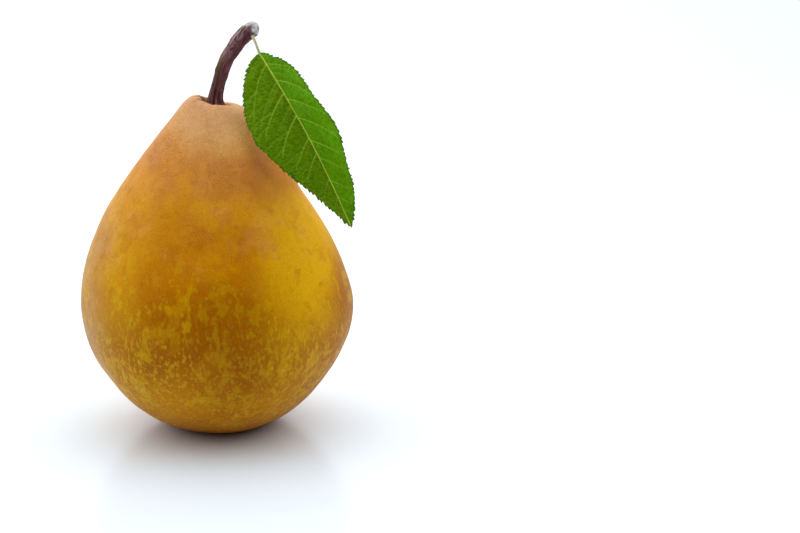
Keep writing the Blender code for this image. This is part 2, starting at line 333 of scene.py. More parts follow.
def skin_paint():
    """Russet skin: tan near the stem, orange-brown below, gold at the sides, mottled low down, with
    painted sheen, shade and highlight in places.
    """
    p = Paint("pear_skin", 0.44)
    x, y, z = p.split(p.place)
    z_mm, x_mm = p.times(z, 1000), p.times(x, 1000)
    warped = p.warp(p.place, 90, 0.010)
    cloud = p.add(p.noise(38, 2, 0.55), -0.5)
    level = p.add(z_mm, p.times(cloud, 22))
    ground = p.ramp(
        p.math("DIVIDE", level, 98, clamp=True),
        (
            (0.00, colour(190, 112, 28)),
            (0.08, colour(207, 134, 14)),
            (0.17, colour(200, 130, 0)),
            (0.30, colour(164, 96, 0)),
            (0.44, colour(174, 98, 0)),
            (0.57, colour(196, 118, 0)),
            (0.70, colour(214, 142, 20)),
            (0.82, colour(214, 140, 46)),
            (0.92, colour(218, 158, 88)),
            (1.00, colour(212, 156, 110)),
        ),
    )
    # gold at the sides, strongest on the right, fading out at the top and bottom
    lean = p.add(x_mm, p.times(cloud, 16))
    right = p.times(p.window(lean, 6, 28, 30, 38), p.band(z_mm, 22, 50, 0.12, 0.88))
    left = p.times(p.band(lean, -10, -26), p.band(z_mm, 22, 54, 0.08, 0.50))
    patch = p.band(p.noise(95, 3, 0.6, warped), 0.46, 0.66)
    gold = p.math("MAXIMUM", p.math("MAXIMUM", right, left), p.times(patch, 0.32))
    gold = p.times(gold, p.window(z_mm, 6, 26, 60, 86))
    look = p.mix(gold, ground, colour(236, 178, 6))
    # browner clouds
    blush = p.times(p.band(p.noise(52, 3, 0.55, warped), 0.46, 0.68), 0.42)
    look = p.mix(blush, look, colour(176, 96, 8))
    rosy = p.band(p.noise(64, 2, 0.5, p.warp(p.place, 60, 0.02)), 0.48, 0.66)
    look = p.mix(p.times(p.times(rosy, p.band(z_mm, 56, 84)), 0.50), look, colour(182, 108, 62))
    # painted reflection: a thin pale sheen on the left side, as the white surroundings reflect there;
    # painted shade: a deeper orange low on the right side
    away = p.math("SQRT", p.add(p.times(x, x), p.times(y, y)))
    turned = p.math("DIVIDE", x, p.math("MAXIMUM", away, 0.001))
    turned = p.add(turned, p.times(cloud, 0.5))
    height = p.times(p.band(level, 2, 14), p.band(level, 22, 46, 0.62, 0.42))
    flank_sheen_and_shade = p.times(p.times(p.band(turned, -0.70, -1.02), height), p.band(level, 88, 50))
    flank_sheen_and_shade = p.times(flank_sheen_and_shade, p.band(p.noise(240, 3, 0.6, warped), 0.36, 0.56, 0.55, 1.0))
    look = p.mix(flank_sheen_and_shade, look, colour(206, 172, 124))
    # painted shade, low on the right side: a deeper orange
    flank_sheen_and_shade = p.times(p.band(turned, 0.70, 1.0), p.window(level, 2, 10, 36, 50, 0.60))
    look = p.mix(flank_sheen_and_shade, look, colour(172, 96, 0))
    # soft yellow blotches, drawn out from top to bottom and crowded in places
    tall = p.stretch(p.warp(p.place, 260, 0.0014), (1.0, 1.0, 0.60))
    crowd = p.times(p.add(p.noise(64, 2, 0.5), -0.5), 0.42)
    spots = p.band(p.add(p.noise(350, 3, 0.55, tall), crowd), 0.53, 0.66)
    where = p.window(z_mm, 5, 14, 46, 65)
    look = p.mix(p.times(p.times(spots, where), 0.50), look, colour(218, 172, 4))
    beads = p.add(p.cells(560, tall), p.times(p.noise(700, 2, 0.6), 0.35))
    small = p.band(p.add(p.noise(210, 2, 0.5), crowd), 0.44, 0.56)
    small = p.times(p.band(beads, 0.52, 0.30), small)
    look = p.mix(p.times(p.times(small, where), 0.52), look, colour(218, 174, 12))
    fine = p.band(p.add(p.noise(1000, 1, 0.5, tall), p.times(crowd, 0.3)), 0.50, 0.68)
    look = p.mix(p.times(fine, p.window(z_mm, 1, 5, 26, 50, 0.55)), look, colour(220, 172, 36))
    # painted shade: the middle, in front, is painted darker and browner
    painted_front_shade = p.times(p.window(x_mm, -6, 3, 11, 22), p.window(z_mm, 8, 24, 44, 58, 0.44))
    look = p.mix(painted_front_shade, look, colour(150, 80, 0))
    # tan and orange patches higher up
    tan = p.band(p.noise(120, 3, 0.6, warped), 0.50, 0.68)
    look = p.mix(p.times(tan, p.window(z_mm, 48, 62, 84, 94, 0.34)), look, colour(228, 158, 72))
    rust = p.band(p.noise(150, 3, 0.6, p.warp(p.place, 70, 0.03)), 0.52, 0.68)
    look = p.mix(p.times(rust, p.window(z_mm, 36, 52, 90, 98, 0.26)), look, colour(176, 92, 20))
    flecks = p.band(p.noise(520, 2, 0.5, warped), 0.54, 0.72)
    look = p.mix(p.times(flecks, 0.22), look, colour(160, 88, 10))
    # fine grain all over, and freckles close to the stem
    grain = p.noise(2600, 2, 0.7)
    tone = p.ramp(grain, ((0.30, (0.84,) * 3 + (1,)), (0.70, (1.14,) * 3 + (1,))))
    look = p.mix(1.0, look, tone, "MULTIPLY")
    dots = p.band(p.cells(1500), 0.38, 0.14)
    look = p.mix(p.times(p.times(dots, p.band(z_mm, 68, 90)), 0.42), look, colour(160, 92, 50))
    light = p.band(p.cells(1300, p.warp(p.place, 300, 0.002)), 0.36, 0.12)
    look = p.mix(p.times(p.times(light, p.band(z_mm, 76, 90)), 0.36), look, colour(236, 190, 134))
    # painted highlight: lighter below the stem; painted shadow of the leaf: redder on the right, beside
    # the leaf
    neck_highlight_and_shadow = p.times(p.window(x_mm, -12, -3, 6, 13), p.window(z_mm, 79, 89, 92, 98, 0.30))
    look = p.mix(neck_highlight_and_shadow, look, colour(238, 188, 128))
    # painted shadow of the leaf: redder on the right of the top
    neck_highlight_and_shadow = p.times(p.band(x_mm, 8, 15), p.window(z_mm, 66, 76, 90, 97, 0.40))
    look = p.mix(neck_highlight_and_shadow, look, colour(168, 88, 34))
    pale = p.band(p.cells(820, p.stretch(p.place, (1.0, 1.0, 0.8))), 0.30, 0.10)
    look = p.mix(p.times(pale, 0.10), look, colour(226, 180, 90))
    # darker in the pit and in the basin
    pit = p.times(p.band(away, 0.0046, 0.0030), p.band(z_mm, 80, 92))
    look = p.mix(p.times(pit, 0.75), look, colour(96, 52, 30))
    basin = p.times(p.band(away, 0.0105, 0.0060), p.band(z_mm, 12, 6))
    look = p.mix(p.times(basin, 0.70), look, colour(110, 82, 34))
    p.set("Base Color", look)
    gloss = p.add(p.times(grain, 0.4), p.times(spots, 0.25))
    p.set("Roughness", p.band(gloss, 0.0, 0.8, 0.50, 0.40))
    p.set("Normal", p.bump(p.noise(900, 3, 0.6), 0.00010, 0.55, p.bump(grain, 0.00005, 0.5)))
    p.set("Specular IOR Level", 0.12)
    p.set("Specular Tint", (1.0, 0.66, 0.20, 1))
    return p.material


# -------------------------------- fruit

CENTRE = Vector((0.0, 0.0, 0.045))  # every point of the skin is seen from here
ROWS, COLUMNS = 252, 360


def smooth_copy(node, levels):
    """The CAD node as quads under Catmull-Clark subdivision, ready for rays."""
    bm = bmesh.new()
    bm.from_mesh(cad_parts[node].data)
    bmesh.ops.remove_doubles(bm, verts=bm.verts, dist=1e-6)
    bmesh.ops.join_triangles(bm, faces=bm.faces, angle_face_threshold=0.8, angle_shape_threshold=1.2)
    mesh = bpy.data.meshes.new("rays")
    bm.to_mesh(mesh)
    bm.free()
    obj = bpy.data.objects.new("rays", mesh)
    bpy.context.scene.collection.objects.link(obj)
    obj.modifiers.new("s", "SUBSURF").levels = levels
    bpy.context.view_layer.update()
    tree = BVHTree.FromObject(obj, bpy.context.evaluated_depsgraph_get())
    bpy.data.objects.remove(obj)
    bpy.data.meshes.remove(mesh)
    return tree


def heading(polar, azimuth):
    """Unit vectors at polar angles from +Z and azimuths from +X."""
    level = np.sin(polar)
    return np.stack([level * np.cos(azimuth), level * np.sin(azimuth), np.cos(polar) + 0 * azimuth], -1)


def fruit_grid():
    """Points of the CAD fruit's surface: rows run from the stem's pit down to the basin."""
    tree = smooth_copy("fruit", 2)

    def reach(polar, azimuth):
        ways = heading(polar, azimuth)
        hits = [tree.ray_cast(CENTRE, Vector(way), 0.1)[3] for way in ways.reshape(-1, 3)]
        return np.array(hits).reshape(ways.shape[:-1])

    fine = np.linspace(0.004, math.pi - 0.004, 1600)
    outline = reach(fine, 1.9)[:, None] * np.stack([np.sin(fine), np.cos(fine)], 1)
    steps = np.linalg.norm(np.diff(outline, axis=0), axis=1)
    radius = (outline[1:, 0] + outline[:-1, 0]) / 2
    steps *= 1 + 1.1 * fade(radius, 0.012, 0.004)  # closer rows in the pit and in the basin
    run = np.concatenate([[0], np.cumsum(steps)])
    polar = np.interp(np.linspace(0, run[-1], ROWS), run, fine)[:, None]
    azimuth = np.arange(COLUMNS) * 2 * math.pi / COLUMNS
    far = reach(polar, azimuth)
    for _ in range(2):  # takes out the flats of the CAD faces
        far = (2 * far + np.roll(far, 1, 1) + np.roll(far, -1, 1)) / 4
    return np.array(CENTRE) + heading(polar, azimuth) * far[..., None]


def build_fruit():
    grid = fruit_grid()
    normals = tube_normals(grid)
    z = grid[..., 2]
    axis_x = grid[: ROWS // 40, :, 0].mean()
    away = np.hypot(grid[..., 0] - axis_x * fade(z, 0.05, 0.09), grid[..., 1])
    angle = np.arctan2(grid[..., 1], grid[..., 0] - axis_x)
    free = fade(z, 0.0015, 0.012)
    lift = 0.34 * MM * noise(grid, 48, 3) + 0.16 * MM * noise(grid, 110, 5)
    lift += 0.07 * MM * noise(grid, 260, 7)
    lift *= free * fade(away, 0.003, 0.010)
    # shallow dimples, as on orange peel but softer
    lift += 0.022 * MM * noise(grid, 620, 9) * free
    # creases that run out of the stem's pit
    ring = np.stack([np.cos(angle) * 1.9, np.sin(angle) * 1.9, away * 120], -1)
    crease = np.maximum(0.0, noise(ring, 1.7, 11, 2)) * hump((away - 0.0042) / 0.0026)
    lift -= 0.85 * MM * crease * fade(z, 0.080, 0.090)
    # the lip swells at the left of the front, close to the stem
    around = angle_from(angle, -2.45)
    swell = hump((away - 0.0062) / 0.0030) * hump(around / 0.75) * fade(z, 0.080, 0.088)
    # folds round the mouth of the basin
    fold = np.cos(5 * angle + 2.2 * noise(grid, 90, 13)) * hump((away - 0.0068) / 0.0022)
    lift += 0.30 * MM * fold * fade(z, 0.010, 0.004) * fade(z, 0.0004, 0.0015)
    grid = grid + normals * lift[..., None]
    grid[..., 2] += 1.5 * MM * swell
    grid[..., 2] = np.maximum(grid[..., 2], 0.0)
    fruit = new_object("fruit_skin", *close_tube(grid), skin_paint())
    settle(fruit, "skin", "fruit")


# -------------------------------- stem

STEM_FOOT = np.array([0.67, 0.0, 94.2])  # mm
STEM_RADIUS, STEM_REACH, STEM_RISE, STEM_FORWARD = 1.9, 12.8, 22.8, 0.6  # mm
# share of the reach, share of the rise, radius in slimmest radii
STEM_LINE = (
    (0.00, -0.05, 1.56),
    (0.00, 0.00, 1.54),
    (0.00, 0.06, 1.32),
    (0.05, 0.23, 1.06),
    (0.17, 0.45, 1.02),
    (0.29, 0.62, 1.05),
    (0.46, 0.76, 1.12),
    (0.62, 0.88, 1.20),
    (0.76, 0.955, 1.23),
    (0.87, 0.985, 1.18),
    (0.93, 0.985, 1.06),
)
STEM_ROWS, STEM_SIDES, STEM_CAP_ROWS = 300, 144, 26


def curve_through(points, count):
    """Evenly spaced rows on a smooth curve through points that may carry more than three values."""
    points = np.asarray(points, float)
    steps = np.linalg.norm(np.diff(points[:, :3], axis=0), axis=1)
    at = np.concatenate([[0], np.cumsum(steps)])
    slope = np.gradient(points, at, axis=0)
    run = np.linspace(0, at[-1], count)
    i = np.clip(np.searchsorted(at, run, side="right") - 1, 0, len(at) - 2)
    span = (at[i + 1] - at[i])[:, None]
    t = (run - at[i])[:, None] / span
    rows = points[i] * (1 + 2 * t) * (1 - t) ** 2 + span * slope[i] * t * (1 - t) ** 2
    rows += points[i + 1] * t * t * (3 - 2 * t) + span * slope[i + 1] * t * t * (t - 1)
    return rows, run


def directions(centres, ahead=(0.0, 1.0, 0.0)):
    """Along, side and back vectors of each row of a centreline."""
    along = unit(np.gradient(centres, axis=0))
    side = unit(np.cross(np.array(ahead), along))
    return along, side, np.cross(along, side)


def spokes(side, back, count):
    """Angles round a tube, and the outward vectors at them for each row."""
    angle = np.arange(count) * 2 * math.pi / count
    across, away = np.cos(angle)[None, :, None], np.sin(angle)[None, :, None]
    return angle, side[:, None] * across + back[:, None] * away


def bark_paint():
    """Grooved red-brown bark, painted lighter on its left side as where light falls, flaking grey near
    the weathered, pale cut end.
    """
    p = Paint("stem_bark", 0.62)
    way = p.attribute("bark_way", "Vector")
    groove, end = p.attribute("bark_groove"), p.attribute("bark_end")
    moss, painted_lit_side = p.attribute("bark_moss"), p.attribute("bark_painted_lit_side")
    long_way = p.stretch(way, (1.0, 1.0, 0.16))
    streak = p.noise(1.5, 3, 0.6, long_way)
    fibre = p.noise(4.2, 2, 0.6, long_way)
    look = p.ramp(
        p.add(p.times(streak, 0.6), p.times(fibre, 0.4)),
        (
            (0.34, colour(48, 18, 24)),
            (0.47, colour(96, 46, 48)),
            (0.58, colour(134, 76, 74)),
            (0.72, colour(180, 128, 120)),
        ),
    )
    # painted light: the left side of the stem is painted lighter
    look = p.mix(p.times(painted_lit_side, 0.40), look, colour(158, 118, 114))
    look = p.mix(p.times(groove, 0.88), look, colour(34, 13, 19))
    look = p.mix(p.times(moss, 0.62), look, colour(96, 82, 34))
    flake = p.band(p.noise(0.85, 4, 0.68, p.stretch(way, (1.0, 1.0, 0.50))), 0.47, 0.58)
    flake = p.times(flake, p.attribute("bark_flake"))
    look = p.mix(p.times(flake, 0.72), look, colour(170, 140, 140))
    weathered = p.ramp(
        p.noise(1.6, 3, 0.65, way),
        ((0.30, colour(122, 116, 116)), (0.46, colour(190, 186, 184)), (0.62, colour(222, 218, 216))),
    )
    look = p.mix(end, look, weathered)
    specks = p.times(p.band(p.noise(2.6, 2, 0.5, way), 0.36, 0.30), end)
    look = p.mix(p.times(specks, 0.85), look, colour(60, 56, 66))
    look = p.mix(p.attribute("bark_scar"), look, colour(46, 40, 48))
    p.set("Base Color", look)
    p.set("Specular IOR Level", 0.28)
    p.set("Normal", p.bump(fibre, 0.00022, 0.8, p.bump(streak, 0.00030, 0.5)))
    return p.material


def build_stem():
    across, up, factor = np.array(STEM_LINE).T
    reach = np.stack([across * STEM_REACH, -across * STEM_FORWARD, up * STEM_RISE], 1)
    line = np.hstack([STEM_FOOT + reach, factor[:, None] * STEM_RADIUS])
    rows, run = curve_through(line, STEM_ROWS)
    length = run[-1]
    # the domed cut end carries on from the last row
    along, side, back = directions(rows[:, :3])
    lean = np.linspace(0, math.pi / 2, STEM_CAP_ROWS + 1)[1:-1]
    dome = 0.55 * rows[-1, 3]
    rise = np.sin(lean) * dome
    cap_radius = rows[-1, 3] * np.cos(lean) ** 0.9
    cap = np.hstack([rows[-1, :3] + rise[:, None] * along[-1], cap_radius[:, None]])
    rows = np.vstack([rows, cap])
    run = np.concatenate([run, length + rise])
    more = ((0, len(cap)), (0, 0))
    along, side, back = (np.pad(way, more, "edge") for way in (along, side, back))
    angle, out = spokes(side, back, STEM_SIDES)
    ca, sa = np.cos(angle), np.sin(angle)
    s = run[:, None] + 0 * angle
    turn = angle + 0.022 * s  # the grain winds a little

    def grain(around, slow, seed, octaves=1):
        place = np.stack([np.cos(turn) * around, np.sin(turn) * around, s * slow], -1)
        return noise(place, 1.0, seed, octaves)

    tip = fade(s, length - 3.2, length - 0.8)
    body = 1 - 0.75 * tip
    flutes, lines = grain(1.35, 0.055, 21), grain(2.7, 0.09, 23)
    cracks = hump(grain(2.1, 0.075, 25) / 0.075) * fade(grain(0.9, 0.10, 27), -0.35, 0.10)
    fine = hump(grain(4.2, 0.16, 29) / 0.10)
    smooth = rows[:, 3][:, None]
    radius = smooth + body * (0.26 * flutes + 0.12 * lines - 0.27 * cracks - 0.08 * fine)
    radius = radius + 0.16 * grain(0.8, 0.30, 31) + 0.05 * grain(2.2, 0.9, 33)
    # roots of the stem spread into the skin
    radius = radius + (0.20 * np.cos(6 * angle + 0.8) + 0.30 * grain(1.4, 0.3, 35)) * fade(s, 4.2, 0.6)
    # a healed bud on the left of the front
    bud = hump((s - 12.0) / 1.25) * hump(angle_from(angle, 3.75) / 0.42)
    radius = radius + 0.36 * bud
    # scales lift where the bark flakes
    scales = fade(grain(1.7, 0.42, 37, 2), 0.02, 0.10)
    upper = fade(s, length * 0.52, length * 0.72) * fade(-ca, -0.35, 0.55)
    radius = radius + 0.13 * scales * upper
    # the swollen end, with a lumpy rim round the cut
    rim = hump((s - length + 0.5) / 0.8)
    radius = radius + rim * (0.10 + 0.34 * grain(1.5, 0.5, 39, 2))
    on_cap = fade(s, length - 0.2, length + 0.5)
    # what stands proud of the smooth stem shrinks to nothing over the dome
    cap_share = np.where(s > length, smooth / rows[STEM_ROWS - 1, 3], 1.0)
    radius = smooth + (radius - smooth) * cap_share
    grid = rows[:, None, :3] + out * radius[..., None]
    dents = noise(grid, 0.62, 41, 2)
    push = on_cap * (0.34 * dents - 0.22 * hump(noise(grid, 0.9, 43) / 0.10))
    # scars of old bundles, sunk into the cut
    scar = 0 * s
    for place_angle, reach in ((0.5, 0.55), (2.3, 0.50), (4.1, 0.60), (5.3, 0.25)):
        spot = rows[STEM_ROWS - 1, :3] + reach * rows[STEM_ROWS - 1, 3] * (
            side[-1] * math.cos(place_angle) + back[-1] * math.sin(place_angle)
        )
        offset = grid - spot
        flat = offset - (offset @ along[-1])[..., None] * along[-1]
        scar = np.maximum(scar, hump(np.linalg.norm(flat, axis=-1) / 0.30))
    scar = scar * on_cap
    grid = grid + along[:, None] * (push - 0.30 * scar)[..., None]

    pale_from = length - 0.5 + 0.8 * ca - 1.3 * fade(-ca, 0.55, 1.0) + 0.8 * grain(1.6, 0.5, 45, 2)
    values = {
        "bark_groove": (cracks + 0.45 * fine) * body + fade(-flutes, 0.15, 0.6) * 0.35,
        "bark_end": fade(s - pale_from, -0.35, 0.45),
        "bark_moss": hump((s - 13.2) / 2.6) * fade(-ca, 0.0, 0.7) * fade(-sa, -0.4, 0.4) + 0.6 * bud,
        # painted light: the stem's left side, which is painted lighter
        "bark_painted_lit_side": fade(-ca, -0.2, 1.0),
        "bark_flake": upper * 1.1,
        "bark_scar": scar * 0.85,
    }
    way = np.stack([np.cos(turn) * STEM_RADIUS, np.sin(turn) * STEM_RADIUS, s], -1)
    verts, faces = close_tube(grid[::-1])
    stem = new_object("stem_bark_tube", verts * MM, faces, bark_paint())
    for name, value in values.items():
        value = np.clip(value + 0 * s, 0, 1)[::-1]
        add_attribute(stem, name, np.concatenate([value.ravel(), value[0, :1], value[-1, :1]]))
    add_attribute(stem, "bark_way", with_ends(way[::-1]))
    settle(stem, "stem_bark", "stem")


# -------------------------------- leaf

LEAF_LENGTH, LEFT_WIDTH, RIGHT_WIDTH = 55.5, 13.5, 10.9  # mm
LEAF_BASE_WIDTH, LEAF_TIP_WIDTH, LEAF_THICKNESS = 1.3, 0.3, 0.35
LEFT_OUTLINE, RIGHT_OUTLINE = (0.39, 0.60, 1.25), (0.48, 0.60, 2.00)
LEFT_DENT, RIGHT_DENT = (0.80, 0.14, 0.5), (0.04, 0.04, 0.9)  # middle, spread, depth
LEAF_HEADING = unit(np.array([0.465, -0.200, -0.860]))
LEAF_FACING = np.array([-0.02, -0.97, 0.22])
LEAF_FOLDS = (6.0, 44.0)  # left and right half, in degrees
LEAF_SAG, LEAF_DROOP = 1.4, 3.6  # mm
STALK_RADIUS, STALK_ROWS, STALK_SIDES = 0.45, 110, 40
STALK_START, STALK_END = np.array([12.08, -2.27, 114.62]), np.array([13.68, -3.47, 110.72])
LEAF_START = STALK_END + LEAF_HEADING * (0.3 + 0.35 * STALK_RADIUS)
LEAF_ROWS, LEAF_COLUMNS = 340, 138
TOOTH_RUN, TOOTH_DEPTH = 1.5, 0.42  # mm
# Side veins: where they leave the midrib, angle there, angle at the margin, share of the way,
# strength
RIGHT_VEINS = (
    (0.017, 72, 62, 0.70, 0.55),
    (0.065, 66, 46, 0.88, 0.85),
    (0.118, 64, 52, 0.50, 0.35),
    (0.163, 62, 34, 0.93, 1.00),
    (0.275, 62, 34, 0.93, 1.00),
    (0.384, 60, 32, 0.93, 0.95),
    (0.514, 58, 32, 0.93, 0.85),
    (0.611, 56, 32, 0.90, 0.65),
    (0.737, 52, 38, 0.86, 0.60),
    (0.829, 46, 36, 0.84, 0.50),
    (0.897, 40, 32, 0.82, 0.40),
)
LEFT_VEINS = (
    (0.020, 80, 40, 0.80, 0.40),
    (0.069, 66, 24, 0.86, 0.75),
    (0.171, 60, 36, 0.76, 0.50),
    (0.240, 63, 30, 0.78, 1.00),
    (0.310, 60, 38, 0.55, 0.32),
    (0.371, 61, 27, 0.78, 1.00),
    (0.497, 56, 32, 0.78, 0.80),
    (0.583, 53, 32, 0.80, 0.75),
    (0.726, 48, 30, 0.80, 0.50),
    (0.830, 44, 30, 0.80, 0.40),
    (0.905, 38, 28, 0.80, 0.35),
)


def half_width(along, right):
    """The blade's width on one side of the midrib, at a share along it."""
    full = np.where(right, RIGHT_WIDTH, LEFT_WIDTH)
    peak, roundness, fullness = (np.where(right, a, b) for a, b in zip(RIGHT_OUTLINE, LEFT_OUTLINE))
    least = LEAF_BASE_WIDTH / 2 * (1 - along) + LEAF_TIP_WIDTH / 2 * along
    early = np.sin(np.pi / 2 * np.clip(along / peak, 0, 1)) ** roundness
    late = 1 - np.clip((along - peak) / (1 - peak), 0, 1) ** fullness
    # the right half is flatter close to its base, the left one close to its tip
    middle, spread, loss = (np.where(right, a, b) for a, b in zip(RIGHT_DENT, LEFT_DENT))
    dent = loss * hump((along - middle) / spread)
    return np.maximum(least, least + full * np.where(along < peak, early, late) - dent)


def blade_place(along, reach):
    """Bent blade point in its own frame: +X base to tip, +Y the right half, +Z the face."""
    right = reach > 0
    fold = np.radians(np.where(right, LEAF_FOLDS[1], LEAF_FOLDS[0]))
    fold = fold * (0.7 + 0.3 * fade(along, 0, 0.25)) * (1 - 0.3 * fade(along, 0.55, 1))
    bow = np.sin(np.pi * np.clip(along, 0, 1))
    side = reach * np.cos(fold) + LEAF_SAG * bow
    up = np.abs(reach) * np.sin(fold) + LEAF_DROOP * bow
    # the crease along the midrib is rounded
    up = up + 0.30 * hump(reach / 1.3) * fade(along, 0, 0.1)
    return np.stack([LEAF_LENGTH * along, side, up], -1)


def leaf_to_world(local):
    """From the blade's own frame to the part's, both in mm."""
    across = unit(np.cross(LEAF_FACING, LEAF_HEADING))
    turn = np.stack([LEAF_HEADING, across, np.cross(LEAF_HEADING, across)], 1)
    return LEAF_START + local @ turn.T


def vein_lines():
    """Side veins of the flat blade, which bend to the tip, and their forks: (points, widths) in mm."""
    lines = []
    for right, veins in ((True, RIGHT_VEINS), (False, LEFT_VEINS)):
        sign = 1 if right else -1
        for number, (start, first, last, share, strength) in enumerate(veins):
            point = np.array([start * LEAF_LENGTH, 0.0])
            points, widths = [point], [strength]
            limit = 1.0
            wobble = 5 * math.sin(2.1 * number + (0.4 if right else 1.3))
            for step in range(120):
                reach = abs(point[1]) / max(limit, 0.1)
                lean = math.radians(first + (last - first) * min(1, reach) + wobble * reach)
                point = point + 0.3 * np.array([math.cos(lean), sign * math.sin(lean)])
                limit = float(half_width(np.array(point[0] / LEAF_LENGTH), np.array(right)))
                if abs(point[1]) > share * limit or point[0] > 0.985 * LEAF_LENGTH:
                    break
                points.append(point)
                widths.append(strength * (1.0 - 0.65 * abs(point[1]) / limit))
            lines.append((np.array(points), np.array(widths)))
            # forks, which leave outwards and run to the margin
            forks = ((0.46 + 0.05 * math.sin(number), 38), (0.78, 30))
            for at, swing in forks[1:] if right else forks:
                if len(points) < 14 or strength < 0.45:
                    continue
                k = int(at * len(points))
                way = points[k] - points[k - 1]
                lean = math.atan2(abs(way[1]), way[0]) + math.radians(swing)
                point, fork, sizes = points[k], [points[k]], [0.42 * strength]
                for step in range(60):
                    lean -= 0.012
                    point = point + 0.25 * np.array([math.cos(lean), sign * math.sin(lean)])
                    limit = float(half_width(np.array(point[0] / LEAF_LENGTH), np.array(right)))
                    if abs(point[1]) > 0.93 * limit:
                        break
                    fork.append(point)
                    sizes.append(strength * (0.42 - 0.30 * step / 60))
                if len(fork) > 3:
                    lines.append((np.array(fork), np.array(sizes)))
    return lines


def near_lines(x, y, lines):
    """For each flat point: distance to the nearest line and that line's width there."""
    flat = np.stack([x.ravel(), y.ravel()], -1)
    best, size = np.full(len(flat), 9.0), np.ones(len(flat))
    for points, widths in lines:
        low, high = points.min(0) - 2.2, points.max(0) + 2.2
        near = np.nonzero(((flat > low) & (flat < high)).all(1))[0]
        a, b = points[:-1], points[1:]
        run = b - a
        offset = flat[near][:, None] - a
        t = np.clip((offset * run).sum(-1) / (run * run).sum(-1), 0, 1)
        far = np.linalg.norm(offset - t[..., None] * run, axis=-1)
        pick = far.argmin(1)
        found = far[np.arange(len(near)), pick]
        closer = found < best[near]
        best[near[closer]] = found[closer]
        size[near[closer]] = widths[pick[closer]]
    return best.reshape(x.shape), size.reshape(x.shape)


def leaf_paint():
    """Glossy green upper face with pale veins, its right half painted brighter as where light falls;
    duller and paler below; dark toothed margin with painted glints on the tooth tips.
    """
    p = Paint("leaf_green", 0.42)
    flat = p.attribute("leaf_flat", "Vector")
    y = p.split(flat)[1]
    rib, middle = p.attribute("leaf_rib"), p.attribute("leaf_midrib")
    edge, upper = p.attribute("leaf_edge"), p.attribute("leaf_upper")
    right = p.band(y, -0.4, 0.6)
    across = p.attribute("leaf_ladder", "Vector")
    broad = p.noise(0.16, 3, 0.6, flat)
    # painted light: the right half is painted a brighter green than the left
    green = p.mix(right, colour(90, 128, 0), colour(86, 154, 0))
    olive = p.times(p.band(p.math("ABSOLUTE", y), 8.0, 0.0), p.math("SUBTRACT", 1.0, right))
    look = p.mix(p.times(olive, 0.40), green, colour(104, 132, 4))
    look = p.mix(p.times(p.band(broad, 0.42, 0.62), 0.40), look, colour(66, 112, 0))
    # painted light: brighter still on the outer part of the right half
    look = p.mix(p.times(p.times(right, p.band(y, 4.0, 10.0)), 0.45), look, colour(92, 170, 0))
    # a net of fine veins between the side veins
    net = p.cells(1.0, p.warp(across, 1.3, 0.35), "DISTANCE_TO_EDGE")
    ladder = p.band(net, 0.10, 0.01)
    tiny = p.band(p.cells(2.6, p.warp(flat, 1.1, 0.4), "DISTANCE_TO_EDGE"), 0.12, 0.02)
    look = p.mix(p.times(tiny, 0.26), look, colour(134, 172, 20))
    look = p.mix(p.times(ladder, 0.38), look, colour(136, 178, 26))
    cushion = p.band(net, 0.06, 0.34)
    look = p.mix(p.times(cushion, 0.22), look, colour(56, 96, 0))
    speckle = p.band(p.noise(2.2, 2, 0.6, flat), 0.50, 0.70)
    look = p.mix(p.times(speckle, 0.30), look, colour(54, 88, 0))
    look = p.mix(p.times(rib, 0.80), look, colour(176, 214, 66))
    look = p.mix(middle, look, colour(222, 240, 92))
    look = p.mix(p.times(edge, 0.50), look, colour(34, 74, 4))
    # painted highlight: small pale glints on the tips of the teeth
    look = p.mix(p.attribute("leaf_tooth_glint"), look, colour(140, 146, 60))
    veins = p.math("MAXIMUM", p.times(rib, 0.8), middle)
    under = p.mix(veins, colour(124, 158, 92), colour(188, 204, 140))
    under = p.mix(p.times(ladder, 0.5), under, colour(156, 186, 116))
    look = p.mix(upper, under, look)
    p.set("Base Color", look)
    p.set("Specular IOR Level", 0.25)
    p.set("Specular Tint", (0.65, 0.85, 0.10, 1))
    relief = p.add(cushion, p.times(p.noise(3.0, 2, 0.6, flat), 0.3))
    p.set("Normal", p.bump(relief, 0.00010, 0.7))
    return p.material


